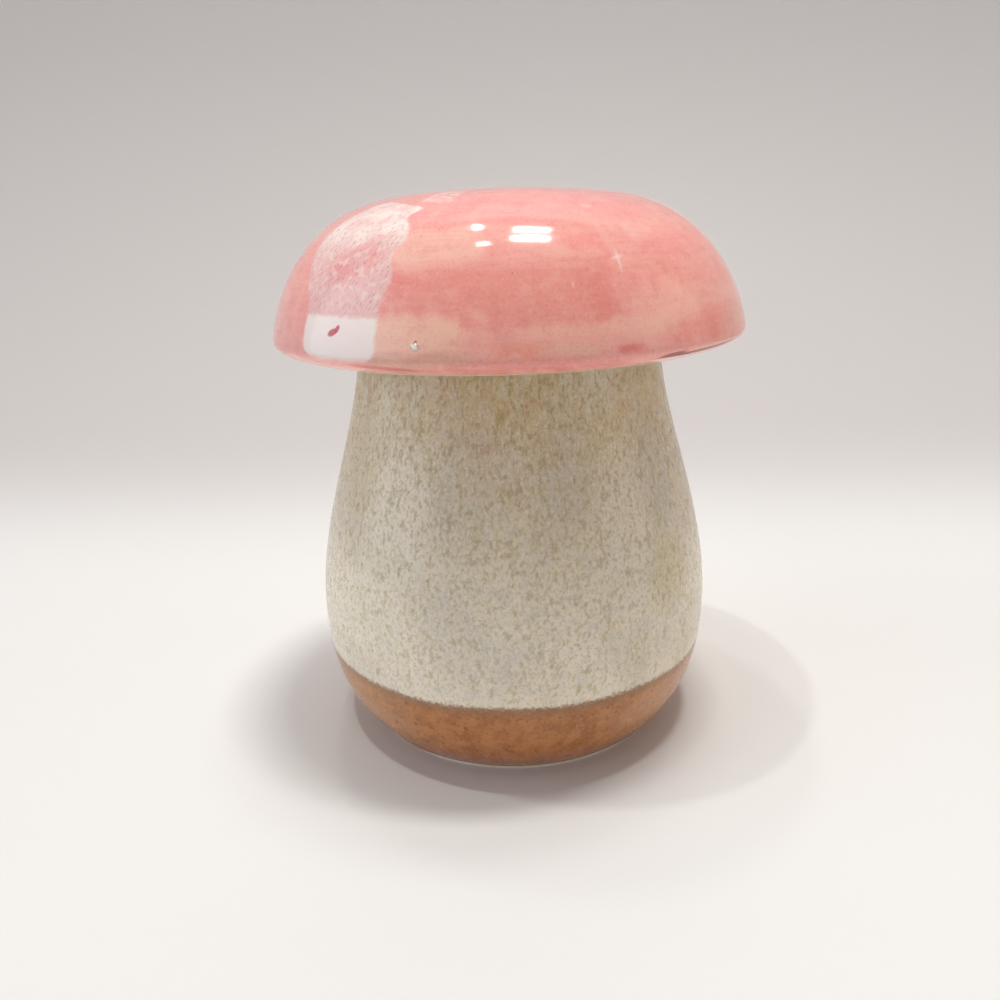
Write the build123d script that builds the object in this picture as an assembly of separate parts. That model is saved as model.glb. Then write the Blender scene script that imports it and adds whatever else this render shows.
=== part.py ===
# Ceramic mushroom: a hollow, pot-bellied stem that is a small jar, and a domed cap that is its lid.
# Millimetres. The origin is the centre of the foot on the resting plane, +Z is up, the front faces -Y.
from build123d import *
import os
from math import cos, radians, sin

# Stem: foot
FOOT_D = 82.4             # outer edge of the ring that rests on the table
FOOT_RING_W = 6.0         # width of that flat ring
FOOT_RECESS = 3.0         # height of the hollow under the floor
FOOT_BAND = 1.2           # height of the bare, wiped band above the table
GLAZE_EDGE = 0.3          # the glaze above it stands out by this much

# Stem: wall
BELLY_D = 106.4           # widest girth
BELLY_Z = 34.0            # height of the widest girth
NECK_D = 78.2             # outside of the rim
RIM_Z = 108.0             # flat top of the rim, where the cap sits
STEM_WALL = 5.0
FLOOR = 4.5
FLOOR_FLAT_D = 60.0       # flat middle of the floor inside
RIM_ROUND = 1.5           # outer edge of the rim
MOUTH_ROUND = 1.0         # inner edge of the rim

# Stem: shape of the curved wall
FLARE_ANGLE = 41.0        # slope of the wall where it leaves the foot
FLARE_FULL = 0.34         # pull of the curve at the foot, as a share of the height below the belly
BELLY_FULL_BELOW = 0.47   # pull of the curve under the widest girth, as a share of the same height
BELLY_FULL_ABOVE = 0.34   # pull above it, as a share of the height from the belly to the rim
NECK_FULL = 0.28          # pull at the neck, as a share of the same height
BOWL_FULL = 0.70          # roundness of the corner between the floor and the wall inside

# Cap: dome and lip
CAP_D = 120.0             # widest girth
CAP_RISE = 33.8           # from the widest girth up to the crown
CAP_SINK = 1.6            # how far the widest girth lies below the rim
LIP_RUN = 11.7            # rounded lip, inwards from the widest girth
LIP_DROP = 4.3            # rounded lip, down from the widest girth
CAP_WALL = 5.0
CAP_LEAN = 0.6            # the dome settled this many degrees out of true, right side up
DOME_SPREAD = 0.5         # exponent: smaller is flatter on top
DOME_FALL = 1.37          # exponent: larger brings the shoulder in
DOME_STEPS = 7            # stretches of the dome's curve
DOME_CROWD = 1.5          # exponent: larger crowds them towards the crown

# Cap: seat and collar
SEAT_MARGIN = 2.0         # the seat reaches this far outside the neck
SEAT_LEDGE = 1.5          # level underside around the seat
SEAT_STEP = 1.0           # the seat stands proud of the underside
COLLAR_DEPTH = 14.0
COLLAR_WALL = 4.5
COLLAR_GAP = 1.0          # between the collar and the mouth, all round
COLLAR_ROUND = 1.5        # bottom edges of the collar
COLLAR_ROOM = 2.0         # straight mouth below the collar's end

foot_r = FOOT_D / 2
belly_r = BELLY_D / 2
neck_r = NECK_D / 2
cap_r = CAP_D / 2
mouth_r = neck_r - STEM_WALL
collar_r = mouth_r - COLLAR_GAP
collar_bore_r = collar_r - COLLAR_WALL
seat_r = neck_r + SEAT_MARGIN
ledge_r = seat_r + SEAT_LEDGE


def curve(start, start_pull, end_pull, end):
    """Smooth curve between two points, each with the pull that bends it there."""
    first = (start[0] + start_pull[0], start[1] + start_pull[1])
    second = (end[0] + end_pull[0], end[1] + end_pull[1])
    return Bezier(start, first, second, end)


def outline(*points):
    """Straight edges through the points, in order."""
    return [Line(a, b) for a, b in zip(points, points[1:])]


def turned(edges):
    """Solid of revolution about Z, from edges that close an outline of radius and height."""
    return revolve(Plane.XZ * make_face(edges), Axis.Z)


def dome(radius, base_z, rise):
    """Flat-topped dome curve, from the crown on the axis to the widest girth."""
    points = []
    for step in range(DOME_STEPS + 1):
        angle = radians(90 * (step / DOME_STEPS) ** DOME_CROWD)
        out = radius * sin(angle) ** DOME_SPREAD
        up = rise * max(cos(angle), 0) ** DOME_FALL
        points.append((out, base_z + up))
    return Spline(*points, tangents=[(1, 0), (0, -1)])


def stem_outside():
    """Foot band, bellied wall and outer edge of the rim, from the table up."""
    below = BELLY_Z - FOOT_BAND
    above = RIM_Z - BELLY_Z
    flare = FLARE_FULL * below
    glaze_start = (foot_r + GLAZE_EDGE, FOOT_BAND)
    belly = (belly_r, BELLY_Z)
    neck = (neck_r, RIM_Z - RIM_ROUND)
    flare_pull = (flare * cos(radians(FLARE_ANGLE)), flare * sin(radians(FLARE_ANGLE)))
    edges = outline((foot_r, 0), (foot_r, FOOT_BAND), glaze_start)
    edges.append(curve(glaze_start, flare_pull, (0, -BELLY_FULL_BELOW * below), belly))
    edges.append(curve(belly, (0, BELLY_FULL_ABOVE * above), (0, -NECK_FULL * above), neck))
    edges.append(CenterArc((neck_r - RIM_ROUND, RIM_Z - RIM_ROUND), RIM_ROUND, 0, 90))
    return edges


def stem_inside():
    """Mouth, bellied inside and floor, from the rim down to the axis."""
    floor_z = FOOT_RECESS + FLOOR
    straight_end = (mouth_r, RIM_Z - COLLAR_DEPTH - COLLAR_ROOM)
    belly = (belly_r - STEM_WALL, BELLY_Z)
    floor_edge = (FLOOR_FLAT_D / 2, floor_z)
    above = straight_end[1] - BELLY_Z
    corner_out = BOWL_FULL * (belly[0] - floor_edge[0])
    corner_up = BOWL_FULL * (BELLY_Z - floor_z)
    edges = [CenterArc((mouth_r + MOUTH_ROUND, RIM_Z - MOUTH_ROUND), MOUTH_ROUND, 90, 90)]
    edges += outline((mouth_r, RIM_Z - MOUTH_ROUND), straight_end)
    edges.append(curve(straight_end, (0, -NECK_FULL * above), (0, BELLY_FULL_ABOVE * above), belly))
    edges.append(curve(belly, (0, -corner_up), (corner_out, 0), floor_edge))
    edges += outline(floor_edge, (0, floor_z))
    return edges


def make_stem():
    """Hollow stem with a foot ring, a floor and an open mouth."""
    recess_r = foot_r - FOOT_RING_W
    edges = stem_outside()
    edges += outline((neck_r - RIM_ROUND, RIM_Z), (mouth_r + MOUTH_ROUND, RIM_Z))
    edges += stem_inside()
    edges += outline((0, FOOT_RECESS + FLOOR), (0, FOOT_RECESS), (recess_r, FOOT_RECESS))
    edges += outline((recess_r, FOOT_RECESS), (recess_r, 0), (foot_r, 0))
    return turned(edges)


def cap_blank():
    """Solid dome with its rounded lip and its hollowed underside, standing true."""
    girth_z = RIM_Z - CAP_SINK
    under_z = RIM_Z + SEAT_STEP
    lip_end = (cap_r - LIP_RUN, girth_z - LIP_DROP)
    under_edge = (ledge_r, under_z)
    run = lip_end[0] - under_edge[0]
    rise = under_z - lip_end[1]
    edges = [dome(cap_r, girth_z, CAP_RISE)]
    edges.append(EllipticalCenterArc((cap_r - LIP_RUN, girth_z), LIP_RUN, LIP_DROP, 270, arc_size=90))
    edges.append(curve(lip_end, (-run / 2, 0), (0, -rise / 2), under_edge))
    edges += outline(under_edge, (0, under_z), (0, girth_z + CAP_RISE))
    return turned(edges)


def cap_hollow():
    """Space inside the dome, one wall smaller than it, standing true."""
    girth_z = RIM_Z - CAP_SINK
    plate_z = RIM_Z + SEAT_STEP + CAP_WALL
    trough = (ledge_r + CAP_WALL, girth_z - LIP_DROP + CAP_WALL)
    inner_r = cap_r - CAP_WALL
    inner_z = trough[1] + LIP_DROP
    plate_edge = (ledge_r, plate_z)
    half_run = (trough[0] - plate_edge[0]) / 2
    edges = [dome(inner_r, inner_z, girth_z + CAP_RISE - CAP_WALL - inner_z)]
    edges.append(EllipticalCenterArc((trough[0], inner_z), inner_r - trough[0], LIP_DROP, 270, arc_size=90))
    edges.append(curve(trough, (-half_run, 0), (half_run, 0), plate_edge))
    edges += outline(plate_edge, (0, plate_z), (0, girth_z + CAP_RISE - CAP_WALL))
    return turned(edges)


def cap_plug():
    """Flat seat and the collar under it, still without their bore, true to the mouth."""
    top_z = RIM_Z + SEAT_STEP + CAP_WALL / 2
    end_z = RIM_Z - COLLAR_DEPTH
    edges = outline((0, end_z), (0, top_z), (seat_r, top_z), (seat_r, RIM_Z), (collar_r, RIM_Z),
                    (collar_r, end_z + COLLAR_ROUND))
    edges.append(CenterArc((collar_r - COLLAR_ROUND, end_z + COLLAR_ROUND), COLLAR_ROUND, 270, 90))
    edges += outline((collar_r - COLLAR_ROUND, end_z), (0, end_z))
    return turned(edges)


def collar_bore():
    """Round way through the collar into the dome, flared at its lower edge."""
    end_z = RIM_Z - COLLAR_DEPTH
    flare_r = collar_bore_r + COLLAR_ROUND
    top_z = RIM_Z + SEAT_STEP + 2 * CAP_WALL
    edges = outline((collar_bore_r, end_z + COLLAR_ROUND), (collar_bore_r, top_z), (0, top_z),
                    (0, end_z), (flare_r, end_z))
    edges.append(CenterArc((flare_r, end_z + COLLAR_ROUND), COLLAR_ROUND, 180, 90))
    return turned(edges)


def make_cap():
    """Hollow cap: the dome leans a little on a seat and collar that are true."""
    pivot = Pos(0, 0, RIM_Z)
    lean = pivot * Rot(0, -CAP_LEAN, 0) * pivot.inverse()
    return lean * cap_blank() + cap_plug() - lean * cap_hollow() - collar_bore()


os.makedirs("parts", exist_ok=True)
export_step(make_stem(), "parts/stem_jar.step")
export_step(make_cap(), "parts/cap_lid.step")
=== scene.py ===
# %% [markdown]
# # A ceramic mushroom in two pieces
# The real thing is a pot-bellied stem, cast hollow like a small jar, and a domed cap that is its lid.
# Both are round, so both can be turned in Blender the way a potter turns a pot: draw half of the
# section once, then spin it round the upright axis. The colours are brushed and dipped on afterwards,
# here with shader nodes, so they can be looked at from every side.

# %% Load the frame
from math import cos, degrees, pi, radians, sin

import bmesh
import bpy
from mathutils import Matrix, Vector, noise
from mathutils.geometry import interpolate_bezier


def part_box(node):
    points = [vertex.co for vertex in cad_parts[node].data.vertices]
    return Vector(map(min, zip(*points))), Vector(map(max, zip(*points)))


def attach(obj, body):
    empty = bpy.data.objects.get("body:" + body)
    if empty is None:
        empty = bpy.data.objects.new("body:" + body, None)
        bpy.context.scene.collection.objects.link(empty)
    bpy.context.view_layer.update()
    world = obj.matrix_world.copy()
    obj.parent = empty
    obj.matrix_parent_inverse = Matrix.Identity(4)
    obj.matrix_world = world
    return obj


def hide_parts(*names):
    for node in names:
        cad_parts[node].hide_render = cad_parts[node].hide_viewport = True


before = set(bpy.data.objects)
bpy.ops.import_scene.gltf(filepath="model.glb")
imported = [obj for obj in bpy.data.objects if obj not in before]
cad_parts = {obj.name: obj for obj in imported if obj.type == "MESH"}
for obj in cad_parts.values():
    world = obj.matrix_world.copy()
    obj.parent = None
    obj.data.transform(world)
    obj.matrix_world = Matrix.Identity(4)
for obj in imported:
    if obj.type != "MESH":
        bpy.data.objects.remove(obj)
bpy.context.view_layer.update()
MM = 0.001
print("pieces in the frame:", sorted(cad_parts))

# %% [markdown]
# ## Sizes
# The solids already hold the sizes that matter, so the girths and heights are read from their boxes.
# What a box can't tell, such as a wall or a rounding, is written here in millimetres. A pull says how far
# a curve keeps its direction at one end, as a share of the height that it covers.

# %% Sizes from the frame, in metres
CAP_SINK = 1.6 * MM
CAP_RISE = 33.8 * MM
stem_low, stem_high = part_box("stem_jar")
cap_low, cap_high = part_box("cap_lid")
rim_z = stem_high.z
belly_r = (stem_high.y - stem_low.y) / 2
cap_r = (cap_high.y - cap_low.y) / 2
collar_end_z = cap_low.z
girth_z = rim_z - CAP_SINK
crown_z = girth_z + CAP_RISE
print(f"rim {rim_z / MM:.1f} mm, belly radius {belly_r / MM:.1f}, cap radius {cap_r / MM:.1f}")

# %% Sizes of the stem, in metres
FOOT_R = 41.2 * MM
FOOT_RING = 6.0 * MM
FOOT_BAND = 1.2 * MM
WIPED = 0.7 * MM
GLAZE_EDGE = 0.3 * MM
RECESS = 3.0 * MM
FLARE_ANGLE = radians(41)
BELLY_Z = 34.0 * MM
NECK_R = 39.1 * MM
WALL = 5.0 * MM
FLOOR_Z = 7.5 * MM
FLOOR_FLAT_R = 30.0 * MM
MOUTH_R = NECK_R - WALL
STRAIGHT_MOUTH = 16.0 * MM
RIM_ROUND = 1.5 * MM
FLARE_PULL = 0.34
UNDER_BELLY_PULL = 0.47
OVER_BELLY_PULL = 0.34
NECK_PULL = 0.28
BOWL_PULL = 0.7
print(f"the mouth is {2 * MOUTH_R / MM:.1f} mm wide")

# %% Sizes of the cap, in metres
LIP_RUN = 11.7 * MM
LIP_DROP = 4.3 * MM
CAP_WALL = 5.0 * MM
SEAT_MARGIN = 2.0 * MM
SEAT_LEDGE = 1.5 * MM
SEAT_STEP = 1.0 * MM
COLLAR_GAP = 1.0 * MM
COLLAR_WALL = 4.5 * MM
SEAT_R = NECK_R + SEAT_MARGIN
LEDGE_R = SEAT_R + SEAT_LEDGE
COLLAR_R = MOUTH_R - COLLAR_GAP
COLLAR_BORE_R = COLLAR_R - COLLAR_WALL
COLLAR_ROUND = 1.5 * MM
CAP_LEAN = radians(-0.6)
DOME_SPREAD = 0.5
DOME_FALL = 1.37
DOME_CROWD = 1.5
print(f"the collar is {2 * COLLAR_R / MM:.1f} mm wide, so it drops freely into the mouth")

# %% [markdown]
# ## Turning on a wheel that isn't there
# A section is a list of points, radius and height. `bmesh.ops.spin` sweeps it round Z, and merging the
# doubles closes the seam and the poles. A section is cut into strips where the finish changes, so each
# strip leaves its own material number on its faces. Subdivision could smooth a coarser section, but the
# spun rings are already round, and the true section keeps the fit between cap and jar.

# %% Turn a section into a piece
TURN_STEPS = 192
SAME_POINT = 1e-6


def curve(start, start_pull, end_pull, end, count=24):
    """Points of a smooth curve between two section points, with the pull that bends each end."""
    a = Vector((*start, 0))
    b = Vector((*end, 0))
    points = interpolate_bezier(a, a + Vector((*start_pull, 0)), b + Vector((*end_pull, 0)), b, count)
    return [(p.x, p.y) for p in points]


def oval(centre, out, up, first, last, count=14):
    """Points on part of an oval, between two angles in degrees."""
    angles = [radians(first + (last - first) * i / (count - 1)) for i in range(count)]
    return [(centre[0] + out * cos(a), centre[1] + up * sin(a)) for a in angles]


def turn(name, strips):
    """Spin strips of section points about Z into one closed mesh, a finish number for each strip."""
    bm = bmesh.new()
    for finish, points in enumerate(strips):
        verts = [bm.verts.new((r, 0, z)) for r, z in points]
        edges = [bm.edges.new(pair) for pair in zip(verts, verts[1:])]
        old = set(bm.faces)
        bmesh.ops.spin(bm, geom=verts + edges, cent=(0, 0, 0), axis=(0, 0, 1), angle=radians(360),
                       steps=TURN_STEPS, use_merge=True, use_duplicate=False)
        for face in set(bm.faces) - old:
            face.material_index = finish
    bmesh.ops.remove_doubles(bm, verts=bm.verts, dist=SAME_POINT)
    bmesh.ops.recalc_face_normals(bm, faces=bm.faces)
    print(f"{name}: {len(bm.faces)} faces, {bm.calc_volume() * 1e6:.1f} cubic centimetres of clay")
    return bm


# %% [markdown]
# ## A potter's hand
# No cast pot is a perfect solid of revolution. Where the outside shows, each point is pressed in along
# its normal by a slow, fixed noise of a fifth of a millimetre. It is always pressed in and never out, so
# the piece stays within its solid's size. Hard rings get a small bevel first, as fired clay has.

# %% Soften edges and finish a piece
SHARP = radians(35)
EDGE_SOFT = 0.3 * MM
UNEVEN = 0.2 * MM


def soften(bm):
    """Bevel every hard ring of the section."""
    hard = [e for e in bm.edges if len(e.link_faces) == 2 and e.calc_face_angle() > SHARP]
    bmesh.ops.bevel(bm, geom=hard, offset=EDGE_SOFT, offset_type='OFFSET', affect='EDGES', segments=3,
                    profile=0.5, material=-1, clamp_overlap=True)
    print(len(hard), "hard edges softened")


def press(bm, finish, depth, size):
    """Push the points of one finish in by an uneven amount, up to depth, with swells of that size."""
    bm.normal_update()
    moves = {}
    for v in bm.verts:
        if all(f.material_index == finish for f in v.link_faces):
            swell = noise.noise(v.co / size) * 0.5 - 0.5
            moves[v] = v.normal * max(-1, swell) * depth
    for v, move in moves.items():
        v.co += move


def dent(bm, finish, angle, up, reach, depth):
    """Press one finish in on one side, deepest at an angle from the front and a latitude, in degrees."""
    angle, up, reach = radians(angle), radians(up), radians(reach)
    middle = Vector((sin(angle) * cos(up), -cos(angle) * cos(up), sin(up)))
    centre = Vector((0, 0, girth_z))
    rim = cos(reach)
    bm.normal_update()
    moves = {}
    for v in bm.verts:
        near = max(0, ((v.co - centre).normalized().dot(middle) - rim) / (1 - rim))
        if near and all(f.material_index == finish for f in v.link_faces):
            moves[v] = v.normal * near * near * (3 - 2 * near) * -depth
    for v, move in moves.items():
        v.co += move
    print(len(moves), "points pressed in")


def piece(name, bm, finishes):
    """Make the object, with smooth shading and its materials in order."""
    for face in bm.faces:
        face.smooth = True
    mesh = bpy.data.meshes.new(name)
    bm.to_mesh(mesh)
    bm.free()
    for finish in finishes:
        mesh.materials.append(finish)
    made = bpy.data.objects.new(name, mesh)
    bpy.context.scene.collection.objects.link(made)
    print(f"{name}: {len(mesh.polygons)} faces, {len(finishes)} finishes")
    return made


# %% [markdown]
# ## The stem's section
# From the middle of the underside outwards: a recess, the bare ring that stands on the table, a wiped
# band, the bellied wall, the rim and then back down the inside to the floor. The belly is two curves
# that meet upright at the widest girth.

# %% Stem section: outside
below = BELLY_Z - FOOT_BAND
above = rim_z - BELLY_Z
recess_r = FOOT_R - FOOT_RING
glaze_start = (FOOT_R + GLAZE_EDGE, FOOT_BAND)
belly = (belly_r, BELLY_Z)
neck = (NECK_R, rim_z - RIM_ROUND)
flare = Vector((cos(FLARE_ANGLE), sin(FLARE_ANGLE))) * FLARE_PULL * below

foot_strip = [(0, RECESS), (recess_r / 2, RECESS), (recess_r, RECESS), (recess_r, 0), (FOOT_R, 0)]
wall_strip = [(FOOT_R, 0), (FOOT_R, WIPED)]
wall_strip += curve(glaze_start, flare, (0, -UNDER_BELLY_PULL * below), belly, 30)
wall_strip += curve(belly, (0, OVER_BELLY_PULL * above), (0, -NECK_PULL * above), neck, 40)[1:]
rim_strip = oval((NECK_R - RIM_ROUND, rim_z - RIM_ROUND), RIM_ROUND, RIM_ROUND, 0, 90, 6)
rim_strip += [(MOUTH_R, rim_z)]
print(len(foot_strip) + len(wall_strip) + len(rim_strip), "points outside")

# %% Stem section: inside
mouth_end = (MOUTH_R, rim_z - STRAIGHT_MOUTH)
belly_inside = (belly_r - WALL, BELLY_Z)
inner_above = mouth_end[1] - BELLY_Z
corner = (BOWL_PULL * (belly_inside[0] - FLOOR_FLAT_R), BOWL_PULL * (BELLY_Z - FLOOR_Z))
neck_pull = (0, -NECK_PULL * inner_above)
belly_pull = (0, OVER_BELLY_PULL * inner_above)
inside_strip = [(MOUTH_R, rim_z), mouth_end]
inside_strip += curve(mouth_end, neck_pull, belly_pull, belly_inside, 30)[1:]
inside_strip += curve(belly_inside, (0, -corner[1]), (corner[0], 0), (FLOOR_FLAT_R, FLOOR_Z))[1:]
inside_strip += [(FLOOR_FLAT_R / 2, FLOOR_Z), (0, FLOOR_Z)]
stem_mesh = turn("stem", [foot_strip, wall_strip, rim_strip, inside_strip])
soften(stem_mesh)
press(stem_mesh, finish=1, depth=UNEVEN, size=45 * MM)

# %% [markdown]
# ## The cap's section
# The dome is a squared-off oval: `sin` and `cos` raised to powers other than one, which flatten the crown
# and tuck the shoulder in. Below the widest girth comes the rounded lip, then the hollowed underside, the
# ground seat that stands on the rim, the collar that drops into the mouth, and the hollow inside.

# %% Cap section: dome and underside
DOME_POINTS = 44


def dome(radius, base_z, rise):
    """Section points of the dome, from the crown on the axis to the widest girth."""
    points = []
    for i in range(DOME_POINTS + 1):
        angle = radians(90 * (i / DOME_POINTS) ** DOME_CROWD)
        out = radius * sin(angle) ** DOME_SPREAD
        points.append((out, base_z + rise * max(cos(angle), 0) ** DOME_FALL))
    return points


lip_end = (cap_r - LIP_RUN, girth_z - LIP_DROP)
ledge = (LEDGE_R, rim_z + SEAT_STEP)
paint_strip = dome(cap_r, girth_z, crown_z - girth_z)
paint_strip += oval((lip_end[0], girth_z), LIP_RUN, LIP_DROP, 0, -90, 24)[1:]
under_strip = curve(lip_end, ((ledge[0] - lip_end[0]) / 2, 0), (0, (lip_end[1] - ledge[1]) / 2), ledge)
under_strip += [(SEAT_R, ledge[1])]
print(f"the lip hangs {(rim_z - lip_end[1]) / MM:.1f} mm below the rim")

# %% Cap section: seat, collar and hollow
trough = (LEDGE_R + CAP_WALL, lip_end[1] + CAP_WALL)
inner_z = trough[1] + LIP_DROP
inner_r = cap_r - CAP_WALL
plate = (LEDGE_R, rim_z + SEAT_STEP + CAP_WALL)
half_run = (trough[0] - plate[0]) / 2
round_z = collar_end_z + COLLAR_ROUND
collar_strip = [(SEAT_R, ledge[1]), (SEAT_R, rim_z), (COLLAR_R, rim_z), (COLLAR_R, round_z)]
collar_strip += oval((COLLAR_R - COLLAR_ROUND, round_z), COLLAR_ROUND, COLLAR_ROUND, 0, -90, 6)[1:]
collar_strip += oval((COLLAR_BORE_R + COLLAR_ROUND, round_z), COLLAR_ROUND, COLLAR_ROUND, 270, 180, 6)
hollow_strip = [(COLLAR_BORE_R, round_z), (COLLAR_BORE_R, plate[1]), plate]
hollow_strip += curve(plate, (half_run, 0), (-half_run, 0), trough)[1:]
hollow_strip += oval((trough[0], inner_z), inner_r - trough[0], LIP_DROP, -90, 0)[1:]
hollow_strip += dome(inner_r, inner_z, crown_z - CAP_WALL - inner_z)[-2::-1]
cap_mesh = turn("cap", [paint_strip, under_strip, collar_strip, hollow_strip])

# %% [markdown]
# ## A cap that settled in the kiln
# The cap's rim stands a little higher on one side. The collar and the seat stay true to the jar, so only
# what lies outside or above them is turned about the seat's middle. The same side's shoulder sank a little
# while the clay was soft, so it is pressed in by 0.4 mm.

# %% Lean the dome
above_seat = rim_z + SEAT_STEP / 2
beside_seat = SEAT_R + SEAT_LEDGE / 3
leaning = [v for v in cap_mesh.verts if v.co.z > above_seat or v.co.xy.length > beside_seat]
bmesh.ops.rotate(cap_mesh, verts=leaning, cent=(0, 0, rim_z), matrix=Matrix.Rotation(CAP_LEAN, 3, 'Y'))
soften(cap_mesh)
press(cap_mesh, finish=0, depth=UNEVEN, size=38 * MM)
dent(cap_mesh, finish=0, angle=72, up=36, reach=50, depth=0.4 * MM)
print(f"{len(leaning)} points lean by {degrees(CAP_LEAN):.1f} degrees")

# %% [markdown]
# ## Small tools for shader nodes
# A node tree written out in full hides its idea, so a few short helpers place a node, do a sum and lay
# one colour over another. Colours are written as they look on a screen, from 0 to 255, and turned into
# the linear values that Blender works in.

# %% Shader helpers: nodes
def paint(red, green, blue):
    """A screen colour as linear red, green, blue and alpha."""
    shares = [c / 255 for c in (red, green, blue)]
    return (*[c / 12.92 if c <= 0.04045 else ((c + 0.055) / 1.055) ** 2.4 for c in shares], 1)


def place(tree, kind, inputs=None, **settings):
    """Add a node, set it, and give each input a value or a link."""
    made = tree.nodes.new(kind)
    for key, setting in settings.items():
        setattr(made, key, setting)
    for key, given in (inputs or {}).items():
        if isinstance(given, bpy.types.NodeSocket):
            tree.links.new(given, made.inputs[key])
        else:
            made.inputs[key].default_value = given
    return made


print("salmon pink in linear light:", [round(c, 3) for c in paint(234, 152, 142)])


# %% Shader helpers: sums and layers
def sum_of(tree, operation, *given):
    """The result of one Math node."""
    return place(tree, 'ShaderNodeMath', dict(enumerate(given)), operation=operation).outputs[0]


def product(tree, *given):
    """Several values multiplied together."""
    result = given[0]
    for other in given[1:]:
        result = sum_of(tree, 'MULTIPLY', result, other)
    return result


def step(tree, given, low, high):
    """0 below low, 1 above high and smooth between; low above high turns it round."""
    inputs = {'Value': given, 'From Min': low, 'From Max': high}
    return place(tree, 'ShaderNodeMapRange', inputs, interpolation_type='SMOOTHSTEP').outputs[0]


def sway(tree, given, reach):
    """A noise value turned into a shift to both sides, from about -reach to reach."""
    return sum_of(tree, 'MULTIPLY', sum_of(tree, 'SUBTRACT', given, 0.5), 2 * reach)


def lay(tree, amount, under, over):
    """One colour laid over another by an amount."""
    return place(tree, 'ShaderNodeMix', {0: amount, 6: under, 7: over}, data_type='RGBA').outputs[2]


def wash(tree, under, texture, low, high, strength, tone):
    """A screen colour laid on as a texture goes from low to high, up to a strength."""
    return lay(tree, product(tree, step(tree, texture, low, high), strength), under, paint(*tone))


# %% Shader helpers: groups
def group(name, inputs, outputs):
    """A new shader node group with float inputs; returns the tree, its inputs and its output node."""
    tree = bpy.data.node_groups.new(name, 'ShaderNodeTree')
    for key, default in inputs.items():
        socket = tree.interface.new_socket(key, in_out='INPUT', socket_type='NodeSocketFloat')
        socket.default_value = default
    for key in outputs:
        tree.interface.new_socket(key, in_out='OUTPUT', socket_type='NodeSocketFloat')
    print(f"group {name}: {', '.join(inputs) or 'no inputs'} to {', '.join(outputs)}")
    return tree, tree.nodes.new('NodeGroupInput').outputs, tree.nodes.new('NodeGroupOutput')


def use(tree, made, inputs=None):
    """Place a node group in a tree and return its outputs."""
    return place(tree, 'ShaderNodeGroup', inputs, node_tree=made).outputs


# %% [markdown]
# ## Where on a turned piece?
# Brush strokes run round a pot and runs of glaze go down it. So the first group turns Object coordinates
# into an angle round the axis, a height in millimetres and a latitude on the dome. Around is 0 at the
# front and jumps at the back, Behind is 0 at the back and jumps at the front, so each stroke can be
# placed where its own angle is smooth.

# %% Node group: place on a turned piece
turned, _, out = group("place_on_turned_piece", {}, ["Around", "Behind", "Height", "Latitude"])
spot = place(turned, 'ShaderNodeTexCoord').outputs['Object']
x, y, z = place(turned, 'ShaderNodeSeparateXYZ', {0: spot}).outputs
around = sum_of(turned, 'ARCTAN2', x, sum_of(turned, 'MULTIPLY', y, -1))
behind = sum_of(turned, 'ARCTAN2', sum_of(turned, 'MULTIPLY', x, -1), y)
flat = place(turned, 'ShaderNodeCombineXYZ', {0: x, 1: y})
length = place(turned, 'ShaderNodeVectorMath', {0: flat.outputs[0]}, operation='LENGTH')
radius = length.outputs['Value']
latitude = sum_of(turned, 'ARCTAN2', sum_of(turned, 'SUBTRACT', z, girth_z), radius)
turned.links.new(sum_of(turned, 'DEGREES', around), out.inputs["Around"])
turned.links.new(sum_of(turned, 'DEGREES', behind), out.inputs["Behind"])
turned.links.new(sum_of(turned, 'DIVIDE', z, MM), out.inputs["Height"])
turned.links.new(sum_of(turned, 'DEGREES', latitude), out.inputs["Latitude"])

# %% [markdown]
# ## Drawn-out noise
# One noise serves for speckles, brush hairs and dry dashes: it only has to be stretched the right way.
# The group lays noise on a ring, so it has no seam at the back. Round Count is how many swells go once
# round, Rise Count how many go up for each unit of rise, Slant leans them over and Grit breaks them up.

# %% Node group: drawn-out noise
drawn, given, out = group("drawn_out_noise", {
    "Around": 0, "Rise": 0, "Round Count": 4, "Rise Count": 1, "Detail": 2, "Start": 0, "Slant": 0,
    "Grit": 0.5}, ["Value"])
lean = sum_of(drawn, 'MULTIPLY', given["Rise"], given["Slant"])
leant = sum_of(drawn, 'SUBTRACT', given["Around"], lean)
angle = sum_of(drawn, 'RADIANS', leant)
ring_r = sum_of(drawn, 'DIVIDE', given["Round Count"], 2 * pi)
stretched = place(drawn, 'ShaderNodeCombineXYZ', {
    0: sum_of(drawn, 'MULTIPLY', sum_of(drawn, 'COSINE', angle), ring_r),
    1: sum_of(drawn, 'MULTIPLY', sum_of(drawn, 'SINE', angle), ring_r),
    2: sum_of(drawn, 'MULTIPLY_ADD', given["Rise"], given["Rise Count"], given["Start"])}).outputs[0]
grain = place(drawn, 'ShaderNodeTexNoise', {
    'Vector': stretched, 'Scale': 1, 'Detail': given["Detail"], 'Roughness': given["Grit"]})
drawn.links.new(grain.outputs[0], out.inputs["Value"])

# %% [markdown]
# ## One touch of the brush
# A stroke is a patch between two angles and two latitudes. Its ends and its long edges are soft by
# different amounts, because a brush leaves its hairs' tracks at the ends and a wash along the sides.

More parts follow.
